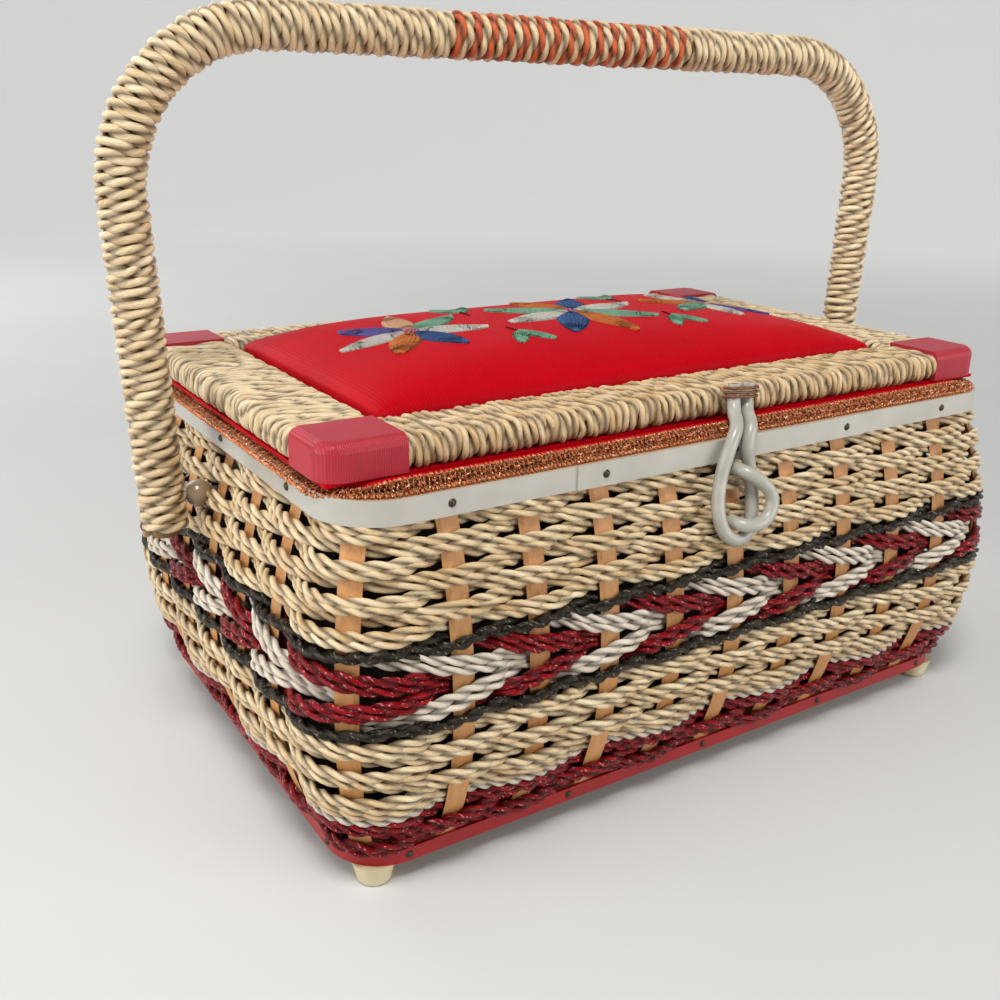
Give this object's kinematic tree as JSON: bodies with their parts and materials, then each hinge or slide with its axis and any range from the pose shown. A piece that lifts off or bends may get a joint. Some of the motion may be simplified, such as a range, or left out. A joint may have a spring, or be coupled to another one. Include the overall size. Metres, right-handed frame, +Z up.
{
  "type": "sewing box",
  "caption": "Woven cord basket with swelling walls, a hinged padded lid in a cord-wound frame, a wound bail handle and a soft tube latch, for sewing things.",
  "frame": {"origin": "on the ground under the middle of the basket", "axes": "+X along the basket's length to the right, -Y to the front where the latch is, +Z up"},
  "size_m": [0.3648, 0.2235, 0.2727],
  "materials": {
    "board": "raw plywood",
    "red_plastic": "glossy moulded strip",
    "tack_metal": "dulled domed tacks",
    "cream_plastic": "glossy cream",
    "steel": "plain wire steel",
    "hoop_wood": "bent wood",
    "pearl_strip": "pearly strip with soft gloss",
    "gimp": "copper braid",
    "satin": "red satin",
    "pad_satin": "red satin over padding with embroidered flowers",
    "hinge_brass": "pressed sheet",
    "vinyl_tube": "off-white vinyl tube",
    "bead": "varnished bead",
    "natural_cord": "twisted straw-coloured cord",
    "white_cord": "twisted off-white cord",
    "red_cord": "twisted glossy red cord",
    "dark_cord": "twisted dark brown cord",
    "orange_cord": "twisted orange cord",
    "splint": "flat splint",
    "block_cover": "rose-red covered block with fine ribs",
    "lining_board": "thin pale board",
    "tie_wire": "brown binding wire"
  },
  "bodies": {
    "basket": {"base_board": "board", "base_band": "red_plastic", "base_band_nails": "tack_metal", "feet": "cream_plastic", "foot_nails": "steel", "rim_hoop_outer": "hoop_wood", "rim_hoop_inner": "hoop_wood", "rim_band": "pearl_strip", "rim_band_patch": "pearl_strip", "rim_tacks": "tack_metal", "gimp_braid": "gimp", "liner_floor": "satin", "liner_front": "satin", "liner_back": "satin", "liner_left": "satin", "liner_right": "satin", "liner_corners": "satin", "pivot_plates": "steel", "hinge_leaves_rim": "hinge_brass", "hinge_screws_rim": "steel", "latch_ring": "vinyl_tube", "pivot_pins": "steel", "bead_spacers": "bead", "weave_arrow_red": "red_cord", "weave_arrow_white": "white_cord", "weave_dark": "dark_cord", "weave_red": "red_cord", "weave_white": "white_cord", "weave_lower": "natural_cord", "weave_upper": "natural_cord", "stakes_front": "splint", "stakes_back": "splint", "stakes_left": "splint", "stakes_right": "splint", "stakes_corners": "splint"},
    "lid": {"lid_bar_front": "hoop_wood", "lid_bar_back": "hoop_wood", "lid_bar_left": "hoop_wood", "lid_bar_right": "hoop_wood", "lid_wrap_front": "natural_cord", "lid_wrap_back": "natural_cord", "lid_wrap_left": "natural_cord", "lid_wrap_right": "natural_cord", "corner_blocks": "block_cover", "pad_board": "board", "lid_pad": "pad_satin", "lid_lining": "lining_board", "hinge_leaves_lid": "hinge_brass", "hinge_screws_lid": "steel", "hinge_pins": "steel", "latch_tie": "tie_wire"},
    "handle": {"handle_core": "hoop_wood", "handle_wrap_leg_left": "natural_cord", "handle_wrap_bend_left": "natural_cord", "handle_wrap_bend_right": "natural_cord", "handle_wrap_leg_right": "natural_cord", "grip_wrap_natural": "natural_cord", "grip_wrap_orange": "orange_cord"},
    "latch": {"latch_loop": "vinyl_tube"}
  },
  "joints": [
    {"name": "lid_open", "type": "hinge", "parent": "basket", "child": "lid", "pos_m": [0, 0.0993, 0.1371], "axis": [-1, 0, 0], "range_deg": [0, 100], "deforming": ["latch_loop"]},
    {"name": "handle_fold", "type": "hinge", "parent": "basket", "child": "handle", "pos_m": [0, 0.008, 0.109], "axis": [-1, 0, 0], "range_deg": [-130, 0]},
    {"name": "latch_swing", "type": "hinge", "parent": "lid", "child": "latch", "pos_m": [0, -0.0899, 0.1477], "axis": [-1, 0, 0], "range_deg": [0, 100], "deforming": ["latch_loop"]}
  ],
  "couplings": [
    {"joint": "handle_fold", "follows": "lid_open", "ratio": -1.3}
  ]
}
